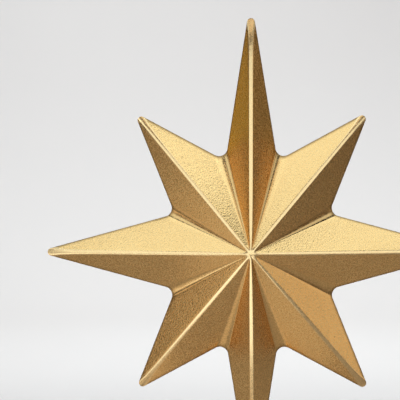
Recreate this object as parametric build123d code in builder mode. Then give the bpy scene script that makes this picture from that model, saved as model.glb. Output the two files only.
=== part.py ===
from build123d import *
from math import acos, cos, degrees, hypot, radians, sin
import os

# Tree topper star: two pressed half shells are bolted down through a collar to a socket for the
# tree's top shoot. Millimetres, +Z up, front of the star towards -Y.
# The origin is the middle of the socket's open mouth.

# Star outline: reach from the star's centre to each corner before it is rounded,
# and the corner's angle above level
upright_reach = 145.0
upright_angle = 90.0
level_reach = 123.0
level_angle = 0.0
slant_reach = 104.0
slant_angle = 50.0
upper_notch_reach = 53.7
upper_notch_angle = 74.0
side_notch_reach = 48.8
side_notch_angle = 26.2
tip_radius = 2.5
notch_radius = 4.5

# Relief of each half: the facets aim at a sharp peak and stop short of it at a small flat crown
peak_height = 26.0
crown_drop = 0.8
crown_tip_radius = 0.2
crown_notch_radius = 0.4
sheet_thickness = 0.8

# Bottom ray: its tip is cut off square and what is left is seated in the collar
ray_cut_off = 47.0
seat_depth = 9.0
seat_clearance = 0.15

# Wedge plate inside the bottom ray
plate_drop = 62.0
plate_thickness = 3.0
plate_clearance = 0.1

# Carriage bolt and the parts on its lower end
bolt_diameter = 6.0
bolt_hole_clearance = 0.3
bolt_head_diameter = 13.5
bolt_head_height = 3.4
bolt_square_width = 6.4
bolt_square_height = 2.8
bolt_tail = 1.5
bolt_chamfer = 0.6
tail_room = 0.5
washer_diameter = 12.5
washer_thickness = 1.6
spring_washer_diameter = 11.6
spring_washer_thickness = 1.6
spring_washer_gap = 1.2
nut_across_flats = 10.0
nut_height = 5.0
nut_chamfer = 0.5
thread_clearance = 0.05

# Socket for the tree's top shoot
socket_bore = 20.0
socket_depth = 62.0
socket_wall = 1.0
neck_bore = 16.0
neck_clearance = 0.15
lip_radius = 1.5

# Collar between the star and the socket
web_thickness = 7.0
collar_wall = 2.4
collar_ring_height = 5.0
collar_cove_depth = 2.0
collar_edge_radius = 1.2

# Heights, from the socket's mouth up
bolt_hole_radius = bolt_diameter / 2 + bolt_hole_clearance
square_hole_width = bolt_square_width + 2 * bolt_hole_clearance
neck_depth = washer_thickness + spring_washer_thickness + nut_height + bolt_tail + tail_room
neck_radius = neck_bore / 2 + socket_wall
neck_ceiling_z = socket_depth + neck_depth
neck_top_z = neck_ceiling_z + socket_wall
collar_base_z = socket_depth + socket_wall
seat_floor_z = neck_top_z + web_thickness
collar_top_z = seat_floor_z + seat_depth
ray_end_drop = upright_reach - ray_cut_off
star_z = seat_floor_z + ray_end_drop
plate_top_z = star_z - plate_drop
plate_base_z = plate_top_z - plate_thickness
square_base_z = plate_top_z - bolt_square_height
dome_radius = (bolt_head_diameter**2 / 4 + bolt_head_height**2) / (2 * bolt_head_height)
washer_base_z = neck_ceiling_z - washer_thickness
spring_washer_base_z = washer_base_z - spring_washer_thickness
nut_base_z = spring_washer_base_z - nut_height
bolt_end_z = nut_base_z - bolt_tail

# Corners of the outline, clockwise from the top tip: tips and notches take turns
quarter = [
    (upright_reach, upright_angle),
    (upper_notch_reach, upper_notch_angle),
    (slant_reach, slant_angle),
    (side_notch_reach, side_notch_angle),
    (level_reach, level_angle),
]
right_side = quarter + [(reach, -angle) for reach, angle in reversed(quarter[:-1])]
left_side = [(reach, 2 * upright_angle - angle) for reach, angle in reversed(right_side[1:-1])]
corners = [(r * cos(radians(a)), r * sin(radians(a))) for r, a in right_side + left_side]

# The upright facets lie nearest to the star's centre, so they set the wall and the fits:
# a form at another size about the centre runs parallel to the facets at a set distance
notch_x = upper_notch_reach * cos(radians(upper_notch_angle))
notch_z = upper_notch_reach * sin(radians(upper_notch_angle))
edge_length = hypot(notch_x, upright_reach - notch_z)
edge_distance = upright_reach * notch_x / edge_length
facet_distance = peak_height * edge_distance / hypot(peak_height, edge_distance)
cavity_size = 1 - sheet_thickness / facet_distance
plate_size = cavity_size - plate_clearance / facet_distance
seat_size = 1 + seat_clearance / facet_distance

# The collar wraps the bottom ray where it leaves the seat, and the socket's neck
ray_left = (ray_cut_off + seat_depth) / upright_reach
ray_half_depth = peak_height * ray_left
ray_half_width = ray_left * upright_reach * notch_x / (upright_reach - notch_z)
seat_radius = max(ray_half_depth, ray_half_width) + seat_clearance
pocket_radius = neck_radius + neck_clearance
collar_radius = max(seat_radius, pocket_radius) + collar_wall

seam_plane = Plane(origin=(0, 0, star_z), x_dir=(1, 0, 0), z_dir=(0, -1, 0))


def half_star(size):
    """Solid front half of the star, at `size` times the outline about the star's centre."""
    crown_share = crown_drop / peak_height
    sections = [
        (1.0, tip_radius, notch_radius),
        (crown_share, crown_tip_radius, crown_notch_radius),
    ]
    with BuildPart() as form:
        for share, tip, notch in sections:
            with BuildSketch(seam_plane.offset(peak_height * size * (1 - share))):
                with BuildLine():
                    points = [(x * share * size, z * share * size) for x, z in corners]
                    radii = [tip * size, notch * size] * (len(corners) // 2)
                    FilletPolyline(*points, radius=radii, close=True)
                make_face()
        loft(ruled=True)
    return form.part


# Front shell: the pressed sheet, open at the seam and at the cut end of the bottom ray
with BuildPart() as front_shell:
    add(half_star(1.0))
    add(half_star(cavity_size), mode=Mode.SUBTRACT)
    split(bisect_by=Plane.XY.offset(seat_floor_z), keep=Keep.TOP)
front_shell.part.label = "front_shell"

# Back shell: the same pressing turned round, edge to edge with the front one
with BuildPart() as back_shell:
    mirror(front_shell.part, about=Plane.XZ)
back_shell.part.label = "back_shell"

# Wedge plate: fills the narrowing bottom ray, with a square hole for the bolt's neck
with BuildPart() as wedge_plate:
    add(half_star(plate_size))
    mirror(about=Plane.XZ)
    with BuildSketch(Plane.XY.offset(plate_base_z)):
        Rectangle(2 * notch_x, 2 * peak_height)
    extrude(amount=plate_thickness, mode=Mode.INTERSECT)
    with BuildSketch(Plane.XY.offset(plate_base_z)):
        Rectangle(square_hole_width, square_hole_width)
    extrude(amount=plate_thickness, mode=Mode.SUBTRACT)
wedge_plate.part.label = "wedge_plate"

# Carriage bolt: domed head on the plate, square neck in it, round shank down to the nut
with BuildPart() as carriage_bolt:
    with BuildSketch(Plane.XY.offset(bolt_end_z)):
        Circle(bolt_diameter / 2)
    extrude(amount=square_base_z - bolt_end_z)
    chamfer(carriage_bolt.faces().sort_by(Axis.Z)[0].edges(), bolt_chamfer)
    with BuildSketch(Plane.XY.offset(square_base_z)):
        Rectangle(bolt_square_width, bolt_square_width)
    extrude(amount=bolt_square_height)
    with BuildSketch(Plane.XZ):
        with BuildLine():
            dome_centre = (0, plate_top_z + bolt_head_height - dome_radius)
            rim_angle = degrees(acos(bolt_head_diameter / 2 / dome_radius))
            dome = CenterArc(dome_centre, dome_radius, rim_angle, 90 - rim_angle)
            Polyline(dome @ 1, (0, plate_top_z), dome @ 0)
        make_face()
    revolve(axis=Axis.Z)
carriage_bolt.part.label = "carriage_bolt"

# Collar: turned rings with a cove between them, a ray shaped seat above and a neck pocket below
with BuildPart() as collar:
    with BuildSketch(Plane.XZ):
        with BuildLine():
            cove_low = collar_base_z + collar_ring_height
            cove_high = collar_top_z - collar_ring_height
            cove_middle = (collar_radius - collar_cove_depth, (cove_low + cove_high) / 2)
            Polyline((collar_radius, cove_low), (collar_radius, collar_base_z), (0, collar_base_z))
            Polyline((0, collar_base_z), (0, collar_top_z), (collar_radius, collar_top_z))
            Line((collar_radius, collar_top_z), (collar_radius, cove_high))
            ThreePointArc((collar_radius, cove_high), cove_middle, (collar_radius, cove_low))
        make_face()
    revolve(axis=Axis.Z)
    rims = collar.edges().filter_by(GeomType.CIRCLE).sort_by(Axis.Z)
    fillet([rims[0], rims[-1]], collar_edge_radius)
    with BuildSketch(Plane.XY.offset(collar_base_z)):
        Circle(pocket_radius)
    extrude(amount=neck_top_z - collar_base_z, mode=Mode.SUBTRACT)
    with BuildSketch(Plane.XY.offset(neck_top_z)):
        Circle(bolt_hole_radius)
    extrude(amount=web_thickness, mode=Mode.SUBTRACT)
    seat = split(half_star(seat_size), Plane.XY.offset(seat_floor_z), Keep.TOP, Mode.PRIVATE)
    add(seat, mode=Mode.SUBTRACT)
    add(mirror(seat, Plane.XZ, Mode.PRIVATE), mode=Mode.SUBTRACT)
collar.part.label = "collar"

# Socket: drawn tube with a rolled lip at its mouth and a narrow closed neck for the nut
with BuildPart() as socket:
    with BuildSketch(Plane.XZ):
        with BuildLine():
            bore_radius = socket_bore / 2
            tube_radius = bore_radius + socket_wall
            lip_foot = (tube_radius, 0)
            lip_edge = (tube_radius + lip_radius, lip_radius)
            lip_head = (tube_radius, 2 * lip_radius)
            ThreePointArc(lip_foot, lip_edge, lip_head)
            Polyline(
                lip_head,
                (tube_radius, collar_base_z),
                (neck_radius, collar_base_z),
                (neck_radius, neck_top_z),
                (bolt_hole_radius, neck_top_z),
                (bolt_hole_radius, neck_ceiling_z),
                (neck_bore / 2, neck_ceiling_z),
                (neck_bore / 2, socket_depth),
                (bore_radius, socket_depth),
                (bore_radius, 0),
                lip_foot,
            )
        make_face()
    revolve(axis=Axis.Z)
socket.part.label = "socket"

# Flat washer under the neck's closed end
with BuildPart() as flat_washer:
    with BuildSketch(Plane.XY.offset(washer_base_z)):
        Circle(washer_diameter / 2)
        Circle(bolt_hole_radius, mode=Mode.SUBTRACT)
    extrude(amount=washer_thickness)
flat_washer.part.label = "flat_washer"

# Spring washer: a ring cut through at one place
with BuildPart() as spring_washer:
    with BuildSketch(Plane.XY.offset(spring_washer_base_z)):
        Circle(spring_washer_diameter / 2)
        Circle(bolt_hole_radius, mode=Mode.SUBTRACT)
        with Locations((spring_washer_diameter / 2, 0)):
            Rectangle(spring_washer_diameter, spring_washer_gap, mode=Mode.SUBTRACT)
    extrude(amount=spring_washer_thickness)
spring_washer.part.label = "spring_washer"

# Hex nut: its outer corners are turned off at both ends
with BuildPart() as hex_nut:
    with BuildSketch(Plane.XY.offset(nut_base_z)):
        Circle(nut_across_flats / 2 / cos(radians(30)))
    extrude(amount=nut_height)
    chamfer(hex_nut.edges().filter_by(GeomType.CIRCLE), nut_chamfer)
    with BuildSketch(Plane.XY.offset(nut_base_z)):
        RegularPolygon(nut_across_flats / 2, 6, major_radius=False)
        Circle(bolt_diameter / 2 + thread_clearance, mode=Mode.SUBTRACT)
    extrude(amount=nut_height, mode=Mode.INTERSECT)
hex_nut.part.label = "hex_nut"

os.makedirs("parts", exist_ok=True)
for piece in (
    front_shell,
    back_shell,
    wedge_plate,
    carriage_bolt,
    collar,
    socket,
    flat_washer,
    spring_washer,
    hex_nut,
):
    export_step(piece.part, f"parts/{piece.part.label}.step")
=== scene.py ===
from math import asin, cos, degrees, hypot, pi, radians, sin

import bmesh
import bpy
from mathutils import Matrix, Vector


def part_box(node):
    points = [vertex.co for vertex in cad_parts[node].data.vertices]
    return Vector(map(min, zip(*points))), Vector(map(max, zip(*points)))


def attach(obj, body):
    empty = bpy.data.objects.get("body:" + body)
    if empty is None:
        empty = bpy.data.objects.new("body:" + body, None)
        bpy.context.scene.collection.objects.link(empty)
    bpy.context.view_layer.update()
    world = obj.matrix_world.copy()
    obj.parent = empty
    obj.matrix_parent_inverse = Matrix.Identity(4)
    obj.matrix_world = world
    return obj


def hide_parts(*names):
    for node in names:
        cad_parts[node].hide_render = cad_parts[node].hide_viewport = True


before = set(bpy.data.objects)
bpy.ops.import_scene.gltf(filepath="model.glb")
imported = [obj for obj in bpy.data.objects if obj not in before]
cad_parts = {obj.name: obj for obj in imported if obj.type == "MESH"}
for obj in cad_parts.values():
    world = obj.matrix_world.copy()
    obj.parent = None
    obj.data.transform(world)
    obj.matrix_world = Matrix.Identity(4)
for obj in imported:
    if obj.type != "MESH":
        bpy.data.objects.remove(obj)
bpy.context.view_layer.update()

# Tree topper star in metres: two pressed gold half shells on a turned collar and a drawn socket.
# The front of the star faces -Y, and the origin is the middle of the socket's open mouth.

# Star outline: reach from the star's centre to each corner, and the corner's angle above level
UPRIGHT_REACH = 0.145
LEVEL_REACH = 0.123
SLANT_REACH = 0.104
SLANT_ANGLE = 50.0
UPPER_NOTCH_REACH = 0.0537
UPPER_NOTCH_ANGLE = 74.0
SIDE_NOTCH_REACH = 0.0488
SIDE_NOTCH_ANGLE = 26.2

# Relief of a half shell
PEAK_HEIGHT = 0.026
PEAK_DROP = 0.00083
SHEET_THICKNESS = 0.0008
TIP_RADIUS = 0.0025
CREST_RADIUS = 0.001
CREST_FLATNESS = 0.5
NOTCH_RADIUS = 0.0045
SEAM_ROUND = 0.0003

# Bottom ray and the fittings below it
RAY_CUT_OFF = 0.047
SEAT_CLEARANCE = 0.0002
COLLAR_RING_HEIGHT = 0.005
COLLAR_COVE_DEPTH = 0.002
COLLAR_EDGE = 0.0012
POCKET_CLEARANCE = 0.00015
BOLT_HOLE_RADIUS = 0.0033
SOCKET_WALL = 0.001
SOCKET_DEPTH = 0.062
NECK_BORE_RADIUS = 0.008
LIP_RADIUS = 0.0015
SHOULDER_EDGE = 0.0004

# Edges that turn by more than this stay sharp
SHARP_ANGLE = radians(35)

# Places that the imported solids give
shell_low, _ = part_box("front_shell")
collar_low, collar_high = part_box("collar")
_, socket_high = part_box("socket")
star_centre = Vector((0.0, 0.0, shell_low.z + UPRIGHT_REACH - RAY_CUT_OFF))
collar_radius = collar_high.x
neck_top_z = socket_high.z
seat_floor_z = shell_low.z


class Wire:
    """A node's output: sums and products of wires and numbers add Math nodes."""

    def __init__(self, board, socket):
        self.board = board
        self.socket = socket

    def math(self, operation, *others):
        values = dict(enumerate((self, *others)))
        return self.board.add("ShaderNodeMath", {"operation": operation}, values)

    def __add__(self, other):
        return self.math("ADD", other)

    def __sub__(self, other):
        return self.math("SUBTRACT", other)

    def __rsub__(self, other):
        return self.board.add("ShaderNodeMath", {"operation": "SUBTRACT"}, {0: other, 1: self})

    def __mul__(self, other):
        return self.math("MULTIPLY", other)

    def __truediv__(self, other):
        return self.math("DIVIDE", other)

    def __mod__(self, other):
        return self.math("FLOORED_MODULO", other)

    def __floordiv__(self, other):
        return (self / other).math("FLOOR")

    def __pow__(self, other):
        return self.math("POWER", other)

    def __lt__(self, other):
        return self.math("LESS_THAN", other)

    def __gt__(self, other):
        return self.math("GREATER_THAN", other)

    __radd__ = __add__
    __rmul__ = __mul__


class Board:
    """A node tree that is filled by calls, each of which returns a wire."""

    def __init__(self, tree):
        self.tree = tree

    def add(self, kind, settings=None, inputs=None, out=0):
        node = self.tree.nodes.new(kind)
        for name, value in (settings or {}).items():
            setattr(node, name, value)
        for name, value in (inputs or {}).items():
            if isinstance(value, Wire):
                self.tree.links.new(value.socket, node.inputs[name])
            else:
                node.inputs[name].default_value = value
        return Wire(self, node.outputs[out]) if len(node.outputs) else node

    def mix(self, share, first, second):
        """A colour between two colours."""
        settings = {"data_type": "RGBA"}
        return self.add("ShaderNodeMix", settings, {0: share, 6: first, 7: second}, out=2)

    def between(self, share, first, second):
        """A place between two places."""
        settings = {"data_type": "VECTOR"}
        return self.add("ShaderNodeMix", settings, {0: share, 4: first, 5: second}, out=1)

    def vectors(self, operation, first, second):
        return self.add("ShaderNodeVectorMath", {"operation": operation}, {0: first, 1: second})

    def scaled(self, vector, factor):
        settings = {"operation": "SCALE"}
        return self.add("ShaderNodeVectorMath", settings, {0: vector, "Scale": factor})

    def at_index(self, geometry, value, index):
        """The vector value that a geometry's point of that number has."""
        settings = {"data_type": "FLOAT_VECTOR", "domain": "POINT"}
        inputs = {"Geometry": geometry, "Value": value, "Index": index}
        return self.add("GeometryNodeSampleIndex", settings, inputs)

    def noise(self, place, scale, detail):
        inputs = {"Vector": place, "Scale": scale, "Detail": detail}
        return self.add("ShaderNodeTexNoise", None, inputs)

    def ramp(self, value, start, end):
        """0 at the start and 1 at the end of a range."""
        inputs = {"Value": value, "From Min": start, "From Max": end}
        return self.add("ShaderNodeMapRange", None, inputs)

    def bump(self, height, strength, distance):
        inputs = {"Strength": strength, "Distance": distance, "Height": height}
        return self.add("ShaderNodeBump", None, inputs)


def rgb(red, green, blue):
    """A colour socket's value."""
    return (red, green, blue, 1.0)


def finished_object(name, mesh):
    """A new object at the origin that carries the mesh."""
    piece = bpy.data.objects.new(name, mesh)
    bpy.context.scene.collection.objects.link(piece)
    return piece


def plain_mesh(piece):
    """What the piece's modifiers make, as a mesh of its own."""
    bpy.context.view_layer.update()
    seen = piece.evaluated_get(bpy.context.evaluated_depsgraph_get())
    return bpy.data.meshes.new_from_object(seen)


def upper_notch():
    """The notch beside an upright ray, across and up from the star's centre."""
    turn = radians(UPPER_NOTCH_ANGLE)
    return UPPER_NOTCH_REACH * cos(turn), UPPER_NOTCH_REACH * sin(turn)


# Star shells

# Counts of the loft: outline corners, steps round a corner, cuts in a straight run, wall sections
CORNERS = 16
CORNER_STEPS = 9
FACET_CUTS = 4
WALL_SECTIONS = 30

# Shares run from 0 at the peak to 1 at the seam: the least one, and the boss where the crests meet
LEAST_SHARE = 0.004
NODE_SHARE = 0.045
NODE_FILL = 0.75

# How soon a crest gets its radius, and how late it swells to its tip and turns round
CREST_RISE = 10.0
TIP_ONSET = 12.0
ROUND_ONSET = 8.0

# Whole numbers are told apart half a step away from them
HALF_STEP = 0.5
MERGE_DISTANCE = 1e-6


def outline_corners():
    """The outline's corners in the seam plane, clockwise from the top: tips and notches take turns."""
    quarter = [
        (UPRIGHT_REACH, 90.0),
        (UPPER_NOTCH_REACH, UPPER_NOTCH_ANGLE),
        (SLANT_REACH, SLANT_ANGLE),
        (SIDE_NOTCH_REACH, SIDE_NOTCH_ANGLE),
        (LEVEL_REACH, 0.0),
    ]
    right = quarter + [(reach, -angle) for reach, angle in reversed(quarter[:-1])]
    left = [(reach, 180.0 - angle) for reach, angle in reversed(right[1:-1])]
    turned = [(reach, radians(angle)) for reach, angle in right + left]
    return [(reach * cos(angle), 0.0, reach * sin(angle)) for reach, angle in turned]


def star_shell_tree():
    """Rounds the outline's corners at many heights and lofts the sections into a thin half shell."""
    tree = bpy.data.node_groups.new("star_shell", "GeometryNodeTree")
    tree.interface.new_socket("Outline", in_out="INPUT", socket_type="NodeSocketGeometry")
    sizes = (
        "Peak Height",
        "Peak Drop",
        "Cavity Size",
        "Tip Radius",
        "Crest Radius",
        "Crest Flatness",
        "Notch Radius",
        "Seam Round",
        "Turn",
    )
    for name in sizes:
        tree.interface.new_socket(name, in_out="INPUT", socket_type="NodeSocketFloat")
    tree.interface.new_socket("Finish", in_out="INPUT", socket_type="NodeSocketMaterial")
    tree.interface.new_socket("Shell", in_out="OUTPUT", socket_type="NodeSocketGeometry")
    board = Board(tree)
    given = {name: board.add("NodeGroupInput", out=name) for name in ("Outline", *sizes, "Finish")}

    # Sections run from the outer peak to the seam, and back inside from the seam to the inner peak
    rows = 2 * WALL_SECTIONS
    seam_section = WALL_SECTIONS - 1

    def section_values(section):
        """The section's share of the way to the seam, whether it is the seam's, and its size."""
        inside = section > seam_section + HALF_STEP
        from_peak = section + inside * (rows - 1 - 2 * section)
        reached = (from_peak / (seam_section - 1)).math("MINIMUM", 1.0)
        share = (reached * reached).math("MAXIMUM", LEAST_SHARE)
        seam = from_peak > seam_section - HALF_STEP
        size = 1 - inside * (1 - given["Cavity Size"])
        return share, seam, size

    index = board.add("GeometryNodeInputIndex")
    corner = index % CORNERS
    section = index // CORNERS
    share, seam, size = section_values(section)

    # Height of a section: a cone with a rounded peak
    blunt = given["Peak Drop"] / given["Peak Height"]
    rim_share = 1 - (1 - seam) * given["Seam Round"] / given["Peak Height"]
    width = share * rim_share
    slope = (width * width + blunt * blunt).math("SQRT")
    foot = (1 + blunt * blunt).math("SQRT")
    height = given["Peak Height"] * size * (foot - slope) * (1 - seam)

    # The valleys fill up close to the peak, which is a small round boss where the crests meet
    place = board.add("GeometryNodeInputPosition")
    corner_place = board.at_index(given["Outline"], place, corner)
    is_notch = corner % 2
    near_peak = (share * share / -(NODE_SHARE**2)).math("EXPONENT")
    filled = 1 + is_notch * NODE_FILL * near_peak
    in_plane = board.scaled(corner_place, width * size * filled)
    raised = board.add("ShaderNodeCombineXYZ", None, {"Y": 0.0 - height})
    section_place = board.vectors("ADD", in_plane, raised)
    points = board.add(
        "GeometryNodePoints", None, {"Count": CORNERS * rows, "Position": section_place}
    )
    rings = board.add(
        "GeometryNodePointsToCurves", None, {"Points": points, "Curve Group ID": section}
    )
    rings = board.add("GeometryNodeSetSplineCyclic", None, {"Geometry": rings, "Cyclic": True})

    # Corner radii: a crest has its radius from close to the peak and swells at its tip, while a
    # valley's radius grows all the way to the seam
    crest_fade = 1 - (share * -CREST_RISE).math("EXPONENT")
    tip_swell = (given["Tip Radius"] - given["Crest Radius"]) * share**TIP_ONSET
    tip_radius = given["Crest Radius"] * crest_fade + tip_swell
    notch_radius = given["Notch Radius"] * share
    radius = (tip_radius + (notch_radius - tip_radius) * is_notch) * size
    rings = board.add(
        "GeometryNodeFilletCurve",
        {"mode": "POLY"},
        {"Curve": rings, "Count": CORNER_STEPS, "Radius": radius, "Limit Radius": True},
    )

    # Each straight run between two corners is cut into even lengths
    per_corner = CORNER_STEPS + 1
    on_run = (index % per_corner) > CORNER_STEPS - HALF_STEP
    rings = board.add(
        "GeometryNodeSubdivideCurve", None, {"Curve": rings, "Cuts": on_run * FACET_CUTS}
    )
    per_corner += FACET_CUTS
    around = CORNERS * per_corner

    # The seam edge is drawn in a little, so that the two halves meet in a fine groove
    _, at_seam, _ = section_values(index // around)
    at_outer_seam = at_seam * ((index // around) < seam_section + HALF_STEP)
    along = board.add("GeometryNodeInputTangent")
    inward = board.vectors("CROSS_PRODUCT", along, (0.0, -1.0, 0.0))
    drawn_in = board.scaled(inward, given["Seam Round"] * at_outer_seam)
    rings = board.add("GeometryNodeSetPosition", None, {"Geometry": rings, "Offset": drawn_in})

    # A grid takes the sections' points, and closes round the outline and at both peaks
    grid = board.add(
        "GeometryNodeMeshGrid", None, {"Vertices X": around + 1, "Vertices Y": rows}
    )
    row = index % rows
    column = (index // rows) % around
    ring_point = row * around + column

    # Masks: 1 on the rounded crests and in the valleys, and the way from the peak to the seam
    to_seam, _, _ = section_values(row)
    step = column % per_corner
    in_corner = step < CORNER_STEPS + HALF_STEP
    valley = in_corner * ((column // per_corner) % 2)
    crest = in_corner - valley

    # A crest is a narrow flat land with rounded edges, which turns round near the ray's tip
    first = ring_point - step
    chord = board.between(
        step / CORNER_STEPS,
        board.at_index(rings, place, first),
        board.at_index(rings, place, first + CORNER_STEPS),
    )
    flat = given["Crest Flatness"] * crest * (1 - to_seam**ROUND_ONSET)
    lofted = board.between(flat, board.at_index(rings, place, ring_point), chord)
    off_pole = (row > HALF_STEP) * (row < rows - 1 - HALF_STEP)
    to_pole = board.add("ShaderNodeCombineXYZ", None, {"X": off_pole, "Y": 1.0, "Z": off_pole})
    lofted = board.vectors("MULTIPLY", lofted, to_pole)
    shell = board.add("GeometryNodeSetPosition", None, {"Geometry": grid, "Position": lofted})

    for name, mask in (("crest", crest), ("valley", valley), ("to_seam", to_seam)):
        shell = board.add(
            "GeometryNodeStoreNamedAttribute",
            {"data_type": "FLOAT", "domain": "POINT"},
            {"Geometry": shell, "Name": name, "Value": mask},
        )
    turn = board.add("ShaderNodeCombineXYZ", None, {"Z": given["Turn"]})
    for kind, inputs in (
        ("GeometryNodeMergeByDistance", {"Distance": MERGE_DISTANCE}),
        ("GeometryNodeTransform", {"Rotation": turn}),
        ("GeometryNodeTransform", {"Translation": star_centre}),
        ("GeometryNodeRealizeInstances", {}),
        ("GeometryNodeSetMaterial", {"Material": given["Finish"]}),
    ):
        shell = board.add(kind, None, {"Geometry": shell, **inputs})
    board.add("NodeGroupOutput", None, {"Shell": shell})
    return tree


def cut_bottom_ray(mesh):
    """Cuts the bottom ray off square where it stands in the collar, and closes the cut."""
    bm = bmesh.new()
    bm.from_mesh(mesh)
    bmesh.ops.bisect_plane(
        bm,
        geom=bm.verts[:] + bm.edges[:] + bm.faces[:],
        plane_co=(0.0, 0.0, seat_floor_z),
        plane_no=(0.0, 0.0, 1.0),
        clear_inner=True,
    )
    open_edges = [edge for edge in bm.edges if edge.is_boundary]
    bmesh.ops.edgenet_fill(bm, edges=open_edges)
    bmesh.ops.recalc_face_normals(bm, faces=bm.faces)
    bm.to_mesh(mesh)
    bm.free()


def star_shell(name, node, turn, tree, finish):
    """One half of the star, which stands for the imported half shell."""
    outline = bpy.data.meshes.new(name)
    outline.from_pydata(outline_corners(), [], [])
    piece = finished_object(name, outline)
    loft = piece.modifiers.new("loft", "NODES")
    loft.node_group = tree
    notch_x, notch_z = upper_notch()
    edge_distance = UPRIGHT_REACH * notch_x / hypot(notch_x, UPRIGHT_REACH - notch_z)
    facet_distance = PEAK_HEIGHT * edge_distance / hypot(PEAK_HEIGHT, edge_distance)
    values = {
        "Peak Height": PEAK_HEIGHT,
        "Peak Drop": PEAK_DROP,
        "Cavity Size": 1 - SHEET_THICKNESS / facet_distance,
        "Tip Radius": TIP_RADIUS,
        "Crest Radius": CREST_RADIUS,
        "Crest Flatness": CREST_FLATNESS,
        "Notch Radius": NOTCH_RADIUS,
        "Seam Round": SEAM_ROUND,
        "Turn": turn,
        "Finish": finish,
    }
    for socket in tree.interface.items_tree:
        if socket.name in values:
            loft[socket.identifier] = values[socket.name]
    mesh = plain_mesh(piece)
    piece.modifiers.clear()
    cut_bottom_ray(mesh)
    mesh.shade_smooth()
    mesh.set_sharp_from_angle(angle=SHARP_ANGLE)
    piece.data = mesh
    flat_facets = piece.modifiers.new("flat_facets", "WEIGHTED_NORMAL")
    flat_facets.keep_sharp = True
    piece.data = plain_mesh(piece)
    piece.modifiers.clear()
    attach(piece, "root")
    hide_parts(node)


# Turned and drawn fittings

RING_POINTS = 96
EDGE_STEPS = 6
LIP_STEPS = 10
COVE_STEPS = 16


def circle(radius, z):
    """A level ring of points about the socket's axis."""
    turns = [2 * pi * step / RING_POINTS for step in range(RING_POINTS)]
    return [Vector((radius * cos(turn), radius * sin(turn), z)) for turn in turns]


def ray_section(z):
    """The bottom ray's diamond shaped section at that height, with the seat's clearance."""
    left = z - star_centre.z + UPRIGHT_REACH
    notch_x, notch_z = upper_notch()
    half_width = left * notch_x / (UPRIGHT_REACH - notch_z) + SEAT_CLEARANCE
    half_depth = left * PEAK_HEIGHT / UPRIGHT_REACH + SEAT_CLEARANCE
    points = []
    for point in circle(1.0, z):
        reach = 1 / (abs(point.x) / half_width + abs(point.y) / half_depth)
        points.append(Vector((point.x * reach, point.y * reach, z)))
    return points


def arc(centre_radius, centre_z, radius, start, end, steps=EDGE_STEPS):
    """Rings along an arc of a turned profile; angles in degrees from outwards to up."""
    angles = [radians(start + (end - start) * step / steps) for step in range(steps + 1)]
    return [circle(centre_radius + radius * cos(a), centre_z + radius * sin(a)) for a in angles]


def new_loops(bm, rings):
    """The rings' points as new corners of a mesh."""
    return [[bm.verts.new(point) for point in ring] for ring in rings]


def skin(bm, loops):
    """Faces from each loop of corners to the next one."""
    for low, high in zip(loops, loops[1:]):
        for step in range(RING_POINTS):
            after = (step + 1) % RING_POINTS
            bm.faces.new((low[step], low[after], high[after], high[step]))


def finished_mesh(name, bm, finish):
    """A smooth mesh of the skin, its faces turned the same way."""
    bmesh.ops.recalc_face_normals(bm, faces=bm.faces)
    mesh = bpy.data.meshes.new(name)
    bm.to_mesh(mesh)
    bm.free()
    mesh.shade_smooth()
    mesh.materials.append(finish)
    return mesh


def ring_piece(name, node, rings, finish):
    """A closed skin through rings that come back to the first one."""
    bm = bmesh.new()
    loops = new_loops(bm, rings)
    skin(bm, loops + loops[:1])
    mesh = finished_mesh(name, bm, finish)
    mesh.set_sharp_from_angle(angle=SHARP_ANGLE)
    piece = finished_object(name, mesh)
    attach(piece, "root")
    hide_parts(node)


def turned_collar(finish):
    """Two rings with a cove between them, the ray's seat above and the neck's pocket below."""
    base = collar_low.z
    top = collar_high.z
    edge = COLLAR_EDGE
    pocket = NECK_BORE_RADIUS + SOCKET_WALL + POCKET_CLEARANCE
    cove_low = base + COLLAR_RING_HEIGHT
    cove_high = top - COLLAR_RING_HEIGHT
    cove_middle = (cove_low + cove_high) / 2
    half = (cove_high - cove_low) / 2
    cove_radius = (half * half + COLLAR_COVE_DEPTH**2) / (2 * COLLAR_COVE_DEPTH)
    cove_centre = collar_radius - COLLAR_COVE_DEPTH + cove_radius
    reach = degrees(asin(half / cove_radius))
    rings = [circle(pocket, base)]
    rings += arc(collar_radius - edge, base + edge, edge, -90, 0)
    rings += arc(cove_centre, cove_middle, cove_radius, 180 + reach, 180 - reach, COVE_STEPS)
    rings += arc(collar_radius - edge, top - edge, edge, 0, 90)
    rings += [ray_section(top), ray_section(seat_floor_z)]
    rings += [circle(BOLT_HOLE_RADIUS, seat_floor_z), circle(BOLT_HOLE_RADIUS, neck_top_z)]
    rings += [circle(pocket, neck_top_z)]
    ring_piece("collar_turned", "collar", rings, finish)


def drawn_socket(finish):
    """A thin tube with a rolled lip at its mouth and a narrow closed neck."""
    bore = socket_high.x - LIP_RADIUS - SOCKET_WALL
    tube = bore + SOCKET_WALL
    neck = NECK_BORE_RADIUS + SOCKET_WALL
    neck_ceiling_z = neck_top_z - SOCKET_WALL
    shoulder = collar_low.z
    rings = [circle(bore, 0.0)]
    rings += arc(tube, LIP_RADIUS, LIP_RADIUS, -90, 90, LIP_STEPS)
    rings += [circle(tube, shoulder - SHOULDER_EDGE), circle(tube - SHOULDER_EDGE, shoulder)]
    rings += [circle(neck, shoulder), circle(neck, neck_top_z)]
    rings += [circle(BOLT_HOLE_RADIUS, neck_top_z), circle(BOLT_HOLE_RADIUS, neck_ceiling_z)]
    rings += [circle(NECK_BORE_RADIUS, neck_ceiling_z), circle(NECK_BORE_RADIUS, SOCKET_DEPTH)]
    rings += [circle(bore, SOCKET_DEPTH)]
    ring_piece("socket_drawn", "socket", rings, finish)


# Finishes: colours in linear light, lengths in metres, scales in features a metre

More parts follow.
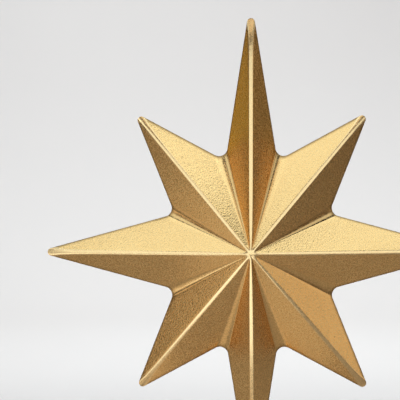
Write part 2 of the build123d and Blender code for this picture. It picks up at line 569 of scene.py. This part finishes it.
# Satin gold of the shells, and how much of its grain, the painted highlight on its crests, and its seam
# edges shows in its colour
SATIN_DEEP = rgb(0.88, 0.51, 0.178)
SATIN_PALE = rgb(0.96, 0.585, 0.215)
SPECK_BROWN = rgb(0.58, 0.29, 0.08)
# Pale cream painted on the crests and the peak's boss as a highlight, not a colour the metal has
CREST_PAINTED_HIGHLIGHT = rgb(0.97, 0.76, 0.42)
SEAM_DARK = rgb(0.24, 0.12, 0.035)
SPECK_SHARE = 0.48
CREST_HIGHLIGHT_SHARE = 0.26
SEAM_SHARE = 0.7

# Where the shells' masks and the grain's specks start and end
CREST_BAND = (0.85, 1.0)
VALLEY_BAND = (0.7, 1.0)
SEAM_BAND = (0.955, 0.995)
NODE_BAND = (0.06, 0.04)
SPECK_BAND = (0.38, 0.62)

# The grain's size and depth, and how much of it is pressed flat on the crests and in the valleys
GRAIN_SCALE = 1350.0
GRAIN_DEPTH = 0.00006
FINE_HEIGHT = 0.4
CREST_PRESSED = 0.85
VALLEY_PRESSED = 0.7
SATIN_CLOUD_SCALE = 28.0

# Roughness of a dark speck, and what pale grain, crests, valleys and seam edges add or take
SPECK_ROUGHNESS = 0.14
GRAIN_ROUGHNESS = 0.16
CREST_POLISH = 0.04
VALLEY_POLISH = 0.05
SEAM_ROUGHNESS = 0.15

# Satin gold of the collar and the socket
FITTING_DEEP = rgb(0.84, 0.50, 0.18)
FITTING_PALE = rgb(0.92, 0.57, 0.22)
LINE_SCALE = 2200.0
LINE_STRENGTH = 0.15
LINE_DEPTH = 0.0001
FITTING_CLOUD_SCALE = 60.0
FITTING_ROUGHNESS = 0.26
LINE_ROUGHNESS = 0.10
FITTING_CLOUD_ROUGHNESS = 0.06

# Zinc of the bolt, the plate, the washers and the nut
ZINC_DARK = rgb(0.55, 0.57, 0.60)
ZINC_PALE = rgb(0.72, 0.73, 0.74)
CRYSTAL_SCALE = 700.0
CRYSTAL_STRENGTH = 0.08
CRYSTAL_DEPTH = 0.0001
ZINC_CLOUD_SCALE = 260.0
ZINC_ROUGHNESS = 0.24
ZINC_CLOUD_ROUGHNESS = 0.14


def new_finish(name, metallic):
    """An empty material, its board, its shader and the place on the piece."""
    material = bpy.data.materials.new(name)
    material.use_nodes = True
    board = Board(material.node_tree)
    shader = material.node_tree.nodes["Principled BSDF"]
    shader.inputs["Metallic"].default_value = metallic
    place = board.add("ShaderNodeTexCoord", out="Object")
    return material, board, shader, place


def feed(board, shader, wires):
    """Links wires to the shader's sockets."""
    for name, wire in wires.items():
        board.tree.links.new(wire.socket, shader.inputs[name])


def star_gold():
    """Satin gold on pressed sheet: sandy grain, crests and the boss at the peak lightened as a painted
    highlight, a darkened edge at the seam.
    """
    material, board, shader, place = new_finish("star_gold", 1.0)

    def mask(name):
        return board.add("ShaderNodeAttribute", {"attribute_name": name}, out="Fac")

    to_seam = mask("to_seam")
    node = board.ramp(to_seam, *NODE_BAND)
    # The crest mask takes in the boss at the peak: it carries the painted highlight there and on the
    # crests, and also their real polish and flattened grain
    crest = board.ramp(mask("crest"), *CREST_BAND).math("MAXIMUM", node)
    valley = board.ramp(mask("valley"), *VALLEY_BAND)
    seam = board.ramp(to_seam, *SEAM_BAND)
    edge = seam * seam * (1 - crest)
    grain = board.noise(place, GRAIN_SCALE, 1.0)
    pebble = board.add(
        "ShaderNodeTexVoronoi", {"feature": "SMOOTH_F1"}, {"Vector": place, "Scale": GRAIN_SCALE}
    )
    cloud = board.noise(place, SATIN_CLOUD_SCALE, 3.0)
    speck = board.ramp(grain, *SPECK_BAND)
    gold = board.mix(cloud, SATIN_DEEP, SATIN_PALE)
    gold = board.mix(speck * SPECK_SHARE, gold, SPECK_BROWN)
    # Painted highlight: the crests and the boss at the peak are lightened towards pale cream
    gold = board.mix(crest * CREST_HIGHLIGHT_SHARE, gold, CREST_PAINTED_HIGHLIGHT)
    gold = board.mix(edge * SEAM_SHARE, gold, SEAM_DARK)
    rough = SPECK_ROUGHNESS + GRAIN_ROUGHNESS * (1 - speck) + SEAM_ROUGHNESS * edge
    rough = rough - CREST_POLISH * crest - VALLEY_POLISH * valley
    height = pebble + grain * FINE_HEIGHT
    height = height * (1 - crest * CREST_PRESSED) * (1 - valley * VALLEY_PRESSED)
    bump = board.bump(height, 1.0, GRAIN_DEPTH)
    feed(board, shader, {"Base Color": gold, "Roughness": rough, "Normal": bump})
    return material


def fitting_gold():
    """Satin gold on turned and drawn metal: fine lines run round the axis."""
    material, board, shader, place = new_finish("fitting_gold", 1.0)
    x, y, z = (board.add("ShaderNodeSeparateXYZ", None, {0: place}, axis) for axis in range(3))
    radius = (x * x + y * y).math("SQRT")
    turned = board.add("ShaderNodeCombineXYZ", None, {"X": radius, "Z": z})
    lines = board.noise(turned, LINE_SCALE, 3.0)
    cloud = board.noise(place, FITTING_CLOUD_SCALE, 3.0)
    gold = board.mix(cloud, FITTING_DEEP, FITTING_PALE)
    rough = FITTING_ROUGHNESS + LINE_ROUGHNESS * lines + FITTING_CLOUD_ROUGHNESS * cloud
    bump = board.bump(lines, LINE_STRENGTH, LINE_DEPTH)
    feed(board, shader, {"Base Color": gold, "Roughness": rough, "Normal": bump})
    return material


def zinc_steel():
    """Bright zinc plate with a faint crystalline mottle."""
    material, board, shader, place = new_finish("zinc_steel", 1.0)
    crystal = board.add(
        "ShaderNodeTexVoronoi", {"feature": "F1"}, {"Vector": place, "Scale": CRYSTAL_SCALE}
    )
    cloud = board.noise(place, ZINC_CLOUD_SCALE, 4.0)
    zinc = board.mix(cloud, ZINC_DARK, ZINC_PALE)
    rough = ZINC_ROUGHNESS + ZINC_CLOUD_ROUGHNESS * cloud
    bump = board.bump(crystal, CRYSTAL_STRENGTH, CRYSTAL_DEPTH)
    feed(board, shader, {"Base Color": zinc, "Roughness": rough, "Normal": bump})
    return material


# Stage: a pale round floor that sweeps up into a wall

HUB_RADIUS = 0.01
FLOOR_RADIUS = 1.45
SWEEP_RADIUS = 1.6
SWEEP_STEPS = 20
WALL_HEIGHT = 2.6
PAINT_DEEP = rgb(0.735, 0.62, 0.55)
PAINT_PALE = rgb(0.775, 0.66, 0.585)
PAINT_CLOUD_SCALE = 1.5
PAINT_ROUGHNESS = 0.9


def stage():
    """Floor, sweep and wall as one surface."""
    material, board, shader, place = new_finish("stage_paint", 0.0)
    paint = board.mix(board.noise(place, PAINT_CLOUD_SCALE, 2.0), PAINT_DEEP, PAINT_PALE)
    shader.inputs["Roughness"].default_value = PAINT_ROUGHNESS
    feed(board, shader, {"Base Color": paint})
    rings = [circle(radius, 0.0) for radius in (HUB_RADIUS, FLOOR_RADIUS / 2, FLOOR_RADIUS)]
    for step in range(1, SWEEP_STEPS + 1):
        turn = pi / 2 * step / SWEEP_STEPS
        out = FLOOR_RADIUS + SWEEP_RADIUS * sin(turn)
        rings.append(circle(out, SWEEP_RADIUS * (1 - cos(turn))))
    rings.append(circle(FLOOR_RADIUS + SWEEP_RADIUS, WALL_HEIGHT))
    bm = bmesh.new()
    loops = new_loops(bm, rings)
    bm.faces.new(loops[0])
    skin(bm, loops)
    finished_object("stage", finished_mesh("stage", bm, material))


# Lights

# Tints of the lamps
NEUTRAL = (1.0, 1.0, 1.0)
COOL = (0.77, 1.0, 1.3)
WARM = (1.18, 1.0, 0.12)
BACKDROP = (0.83, 1.0, 1.135)

# Power of a panel's square metre at strength 1, and the heights of the ceiling and floor panels
PANEL_WATTS = 4.0
CEILING_Z = 0.778
CARD_Z = 0.005

# Light of the room itself, beyond the stage
ROOM_TINT = rgb(0.9, 0.87, 0.84)
ROOM_STRENGTH = 0.02

DOWN = (0.0, 0.0, -1.0)
UP = (0.0, 0.0, 1.0)
BACK = (0.0, 1.0, 0.0)
LEFT = (-1.0, 0.0, 0.0)
RIGHT = (1.0, 0.0, 0.0)


def softbox(name, place, facing, width, height, strength, tint=NEUTRAL, spread=180.0):
    """A soft rectangular lamp that the camera does not see; facing is the way it shines.

    The strength sets its power for its area, so a narrower spread in degrees makes it brighter
    along its axis.
    """
    lamp = bpy.data.lights.new(name, "AREA")
    lamp.shape = "RECTANGLE"
    lamp.size = width
    lamp.size_y = height
    lamp.energy = PANEL_WATTS * width * height * strength
    lamp.color = tint
    lamp.spread = radians(spread)
    box = bpy.data.objects.new(name, lamp)
    box.location = place
    box.rotation_mode = "QUATERNION"
    box.rotation_quaternion = Vector(facing).to_track_quat("-Z", "Y")
    box.visible_camera = False
    bpy.context.scene.collection.objects.link(box)


def lights():
    """Panels overhead, in front and at the sides, cards on the floor, and the stage's own lamps."""
    softbox("overhead_left", (-0.27, -0.245, CEILING_Z), DOWN, 0.34, 0.36, 1.27, COOL)
    softbox("overhead_front", (0.06, -0.38, CEILING_Z), DOWN, 0.42, 0.26, 1.3, COOL)
    softbox("overhead_gap", (0.0, -0.62, CEILING_Z), DOWN, 0.7, 0.2, 0.65)
    softbox("front", (-0.275, -1.3, 0.5), BACK, 1.75, 0.9, 0.93, COOL)
    softbox("front_right", (0.8, -1.3, 0.5), BACK, 0.4, 0.9, 0.92, COOL)
    softbox("high_left", (-0.895, -0.752, 0.853), (0.663, 0.557, -0.5), 0.65, 0.5, 0.85, COOL)
    softbox("left_fill", (-1.0, -0.425, 0.425), RIGHT, 0.35, 0.45, 0.61)
    softbox("left_warm", (-1.0, 0.32, 0.35), RIGHT, 0.36, 0.4, 0.28, WARM)
    softbox("right_warm", (1.0, 0.32, 0.35), LEFT, 0.36, 0.4, 0.08, WARM)

    # Panels with a narrow spread, aimed at the star, which keep off the floor
    for name, place, facing, width, height, strength, tint, spread in (
        ("overhead_right", (0.29, -0.1, CEILING_Z), (-0.29, 0.1, -0.578), 0.39, 0.22, 0.27, COOL, 80.0),
        ("high_right", (0.913, -0.766, 0.811), (-0.676, 0.567, -0.469), 0.5, 0.5, 0.07, COOL, 60.0),
        ("right_fill", (1.0, -0.275, 0.425), (-1.0, 0.275, -0.245), 0.45, 0.45, 0.06, NEUTRAL, 60.0),
        ("back_left", (-0.27, 0.27, CEILING_Z), (0.27, -0.27, -0.578), 0.36, 0.24, 0.13, COOL, 80.0),
        ("back_right", (0.27, 0.27, CEILING_Z), (-0.27, -0.27, -0.578), 0.36, 0.24, 0.13, COOL, 80.0),
    ):
        softbox(name, place, facing, width, height, strength, tint, spread)

    # Cards on the floor that shine up at the low facets
    for side, x, y, width, depth, strength, tint in (
        ("far_left", -0.65, -1.1, 0.6, 0.5, 1.1, COOL),
        ("far_right", 0.7, -1.1, 0.6, 0.5, 1.0, COOL),
        ("front", -0.22, -0.42, 0.58, 0.36, 1.12, COOL),
        ("near", -0.18, -0.18, 0.44, 0.12, 0.18, NEUTRAL),
        ("side", -0.7, -0.36, 0.4, 0.26, 0.4, NEUTRAL),
        ("left", -0.405, -0.1, 0.27, 0.2, 0.3, NEUTRAL),
        ("under", -0.045, -0.055, 0.08, 0.15, 0.18, NEUTRAL),
    ):
        softbox("reflector_" + side, (x, y, CARD_Z), UP, width, depth, strength, tint)

    # Lamps of the stage: its front wall, its floor behind the star, and its back wall
    softbox("room", (0.0, -1.32, 1.3), (0.0, -1.0, -0.9), 2.4, 0.5, 2.0, BACKDROP, 140.0)
    softbox("backdrop", (0.0, 0.3, 1.6), (0.0, 1.3, -1.3), 1.2, 0.5, 9.5, BACKDROP, 110.0)
    softbox("wall", (-0.5, 2.3, 2.2), (0.0, 0.45, -1.0), 1.6, 0.6, 1.3, BACKDROP, 100.0)
    world = bpy.data.worlds.new("room")
    world.use_nodes = True
    background = world.node_tree.nodes["Background"]
    background.inputs["Color"].default_value = ROOM_TINT
    background.inputs["Strength"].default_value = ROOM_STRENGTH
    bpy.context.scene.world = world


# Camera: just right of the star's axis and a little above it; angles in degrees

CAMERA_DISTANCE = 1.0
CAMERA_AZIMUTH = 1.19
CAMERA_ELEVATION = 3.25
CAMERA_ROLL = -0.24
AIM_LEFT = 0.02909
AIM_UP = 0.02914
IMAGE_SIZE = 400
FOCAL_PIXELS = 1773.0
SENSOR_WIDTH = 36.0


def camera():
    """The photograph's view."""
    data = bpy.data.cameras.new("camera")
    data.sensor_width = SENSOR_WIDTH
    data.lens = SENSOR_WIDTH * FOCAL_PIXELS / IMAGE_SIZE
    azimuth = radians(CAMERA_AZIMUTH)
    elevation = radians(CAMERA_ELEVATION)
    back = Vector((sin(azimuth) * cos(elevation), -cos(azimuth) * cos(elevation), sin(elevation)))
    place = star_centre + CAMERA_DISTANCE * back
    aim = star_centre + Vector((-AIM_LEFT, 0.0, AIM_UP))
    forward = (aim - place).normalized()
    level = forward.cross(Vector(UP)).normalized()
    upright = level.cross(forward)
    roll = radians(CAMERA_ROLL)
    right = level * cos(roll) + upright * sin(roll)
    up = upright * cos(roll) - level * sin(roll)
    turn = Matrix((right, up, -forward)).transposed().to_4x4()
    eye = bpy.data.objects.new("camera", data)
    eye.matrix_world = Matrix.Translation(place) @ turn
    bpy.context.scene.collection.objects.link(eye)
    bpy.context.scene.camera = eye


def build():
    """Makes the star, its fittings, the stage, the lights and the camera."""
    gold = star_gold()
    tree = star_shell_tree()
    star_shell("front_shell_pressed", "front_shell", 0.0, tree, gold)
    star_shell("back_shell_pressed", "back_shell", pi, tree, gold)
    fitting = fitting_gold()
    turned_collar(fitting)
    drawn_socket(fitting)
    zinc = zinc_steel()
    for node in ("wedge_plate", "carriage_bolt", "flat_washer", "spring_washer", "hex_nut"):
        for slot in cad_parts[node].material_slots:
            slot.material = zinc
    stage()
    lights()
    camera()
    bpy.context.scene.view_settings.view_transform = "Standard"


build()
